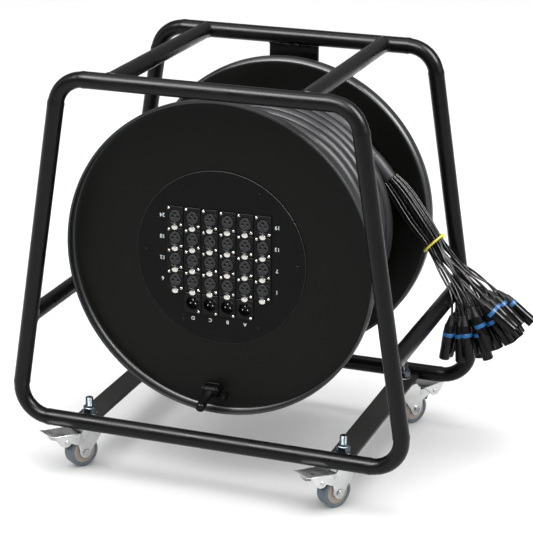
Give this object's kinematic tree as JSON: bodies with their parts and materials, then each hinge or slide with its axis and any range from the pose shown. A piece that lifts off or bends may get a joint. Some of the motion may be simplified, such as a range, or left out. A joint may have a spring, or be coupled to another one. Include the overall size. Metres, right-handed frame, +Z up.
{
  "type": "multicore cable drum",
  "caption": "Cable drum on a tubular trolley with braked swivel casters, a round panel of three-pin audio connectors, a folding crank and a fan-out of tails with plugs.",
  "frame": {"origin": "on the floor under the middle of the frame", "axes": "+X to the right seen from the panel side, +Y from the panel to the axle plate, +Z up"},
  "size_m": [0.7292, 0.4738, 0.6235],
  "materials": {
    "frame_coating": "satin black powder coat",
    "drum_coating": "semi-gloss black",
    "panel": "matte black",
    "zinc": "bright zinc plating",
    "bare_steel": "machined",
    "black_plastic": "satin",
    "cable_jacket": "satin charcoal",
    "tails": "satin black with blue and red rings",
    "tyre": "grey",
    "tie": "yellow"
  },
  "bodies": {
    "frame": {"front_loop": "frame_coating", "rear_loop": "frame_coating", "top_bar_left": "frame_coating", "top_bar_right": "frame_coating", "side_bar_left": "frame_coating", "side_bar_right": "frame_coating", "caster_strip_left": "frame_coating", "caster_strip_right": "frame_coating", "axle_plate": "frame_coating", "stub_axle": "bare_steel", "axle_nut_front": "zinc", "axle_nut_rear": "zinc", "caster_stem_front_left": "zinc", "caster_stem_front_right": "zinc", "caster_stem_rear_left": "zinc", "caster_stem_rear_right": "zinc", "lead_out": "cable_jacket", "breakout_boot": "black_plastic", "tails_lower_front": "tails", "tails_lower_rear": "tails", "tails_upper_front": "tails", "tails_upper_rear": "tails", "bundle_tie": "tie"},
    "drum": {"bearing_front": "bare_steel", "bearing_rear": "bare_steel", "hub_tube": "drum_coating", "hub_bulkhead": "drum_coating", "front_flange": "drum_coating", "rear_flange": "drum_coating", "barrel": "drum_coating", "connector_panel": "panel", "cable_core": "cable_jacket", "cable_outer_layer": "cable_jacket", "crank_bracket": "frame_coating", "crank_pin": "bare_steel"},
    "latch_row_1": {"latch_tabs_row_1": "zinc"},
    "latch_row_2": {"latch_tabs_row_2": "zinc"},
    "latch_row_3": {"latch_tabs_row_3": "zinc"},
    "latch_row_4": {"latch_tabs_row_4": "zinc"},
    "crank": {"crank_arm": "frame_coating"},
    "grip": {"crank_grip": "black_plastic"},
    "fork_front_left": {"caster_fork_front_left": "zinc", "caster_axle_front_left": "zinc"},
    "wheel_front_left": {"caster_wheel_front_left": "tyre"},
    "pedal_front_left": {"caster_pedal_front_left": "zinc"},
    "fork_front_right": {"caster_fork_front_right": "zinc", "caster_axle_front_right": "zinc"},
    "wheel_front_right": {"caster_wheel_front_right": "tyre"},
    "pedal_front_right": {"caster_pedal_front_right": "zinc"},
    "fork_rear_left": {"caster_fork_rear_left": "zinc", "caster_axle_rear_left": "zinc"},
    "wheel_rear_left": {"caster_wheel_rear_left": "tyre"},
    "pedal_rear_left": {"caster_pedal_rear_left": "zinc"},
    "fork_rear_right": {"caster_fork_rear_right": "zinc", "caster_axle_rear_right": "zinc"},
    "wheel_rear_right": {"caster_wheel_rear_right": "tyre"},
    "pedal_rear_right": {"caster_pedal_rear_right": "zinc"}
  },
  "joints": [
    {"name": "drum_spin", "type": "hinge", "parent": "frame", "child": "drum", "pos_m": [0, 0, 0.3455], "axis": [0, 1, 0], "continuous": true},
    {"name": "latch_row_1_press", "type": "slide", "parent": "drum", "child": "latch_row_1", "axis": [0, 1, 0], "range_m": [0, 0.0015], "stiffness_N_per_m": 2000, "springref_m": -0.0003},
    {"name": "latch_row_2_press", "type": "slide", "parent": "drum", "child": "latch_row_2", "axis": [0, 1, 0], "range_m": [0, 0.0015], "stiffness_N_per_m": 2000, "springref_m": -0.0003},
    {"name": "latch_row_3_press", "type": "slide", "parent": "drum", "child": "latch_row_3", "axis": [0, 1, 0], "range_m": [0, 0.0015], "stiffness_N_per_m": 2000, "springref_m": -0.0003},
    {"name": "latch_row_4_press", "type": "slide", "parent": "drum", "child": "latch_row_4", "axis": [0, 1, 0], "range_m": [0, 0.0015], "stiffness_N_per_m": 2000, "springref_m": -0.0003},
    {"name": "crank_fold", "type": "hinge", "parent": "drum", "child": "crank", "pos_m": [-0.012, -0.139, 0.1395], "axis": [-1, 0, 0], "range_deg": [0, 105]},
    {"name": "grip_spin", "type": "hinge", "parent": "crank", "child": "grip", "pos_m": [-0.012, -0.139, 0.1395], "axis": [0, -0.9659, -0.2588], "continuous": true},
    {"name": "swivel_front_left", "type": "hinge", "parent": "frame", "child": "fork_front_left", "pos_m": [-0.2035, -0.157, 0.068], "axis": [0, 0, 1], "continuous": true},
    {"name": "wheel_spin_front_left", "type": "hinge", "parent": "fork_front_left", "child": "wheel_front_left", "pos_m": [-0.21276, -0.17126, 0.02452], "axis": [0.8387, -0.5446, 0], "continuous": true},
    {"name": "brake_front_left", "type": "hinge", "parent": "fork_front_left", "child": "pedal_front_left", "pos_m": [-0.23182, -0.20061, 0.05], "axis": [0.8387, -0.5446, 0], "range_deg": [0, 10]},
    {"name": "swivel_front_right", "type": "hinge", "parent": "frame", "child": "fork_front_right", "pos_m": [0.2035, -0.157, 0.068], "axis": [0, 0, 1], "continuous": true},
    {"name": "wheel_spin_front_right", "type": "hinge", "parent": "fork_front_right", "child": "wheel_front_right", "pos_m": [0.19424, -0.17126, 0.02452], "axis": [0.8387, -0.5446, 0], "continuous": true},
    {"name": "brake_front_right", "type": "hinge", "parent": "fork_front_right", "child": "pedal_front_right", "pos_m": [0.17518, -0.20061, 0.05], "axis": [0.8387, -0.5446, 0], "range_deg": [0, 10]},
    {"name": "swivel_rear_left", "type": "hinge", "parent": "frame", "child": "fork_rear_left", "pos_m": [-0.2035, 0.157, 0.068], "axis": [0, 0, 1], "continuous": true},
    {"name": "wheel_spin_rear_left", "type": "hinge", "parent": "fork_rear_left", "child": "wheel_rear_left", "pos_m": [-0.19424, 0.17126, 0.02452], "axis": [-0.8387, 0.5446, 0], "continuous": true},
    {"name": "brake_rear_left", "type": "hinge", "parent": "fork_rear_left", "child": "pedal_rear_left", "pos_m": [-0.17518, 0.20061, 0.05], "axis": [-0.8387, 0.5446, 0], "range_deg": [0, 10]},
    {"name": "swivel_rear_right", "type": "hinge", "parent": "frame", "child": "fork_rear_right", "pos_m": [0.2035, 0.157, 0.068], "axis": [0, 0, 1], "continuous": true},
    {"name": "wheel_spin_rear_right", "type": "hinge", "parent": "fork_rear_right", "child": "wheel_rear_right", "pos_m": [0.21276, 0.17126, 0.02452], "axis": [-0.8387, 0.5446, 0], "continuous": true},
    {"name": "brake_rear_right", "type": "hinge", "parent": "fork_rear_right", "child": "pedal_rear_right", "pos_m": [0.23182, 0.20061, 0.05], "axis": [-0.8387, 0.5446, 0], "range_deg": [0, 10]}
  ]
}
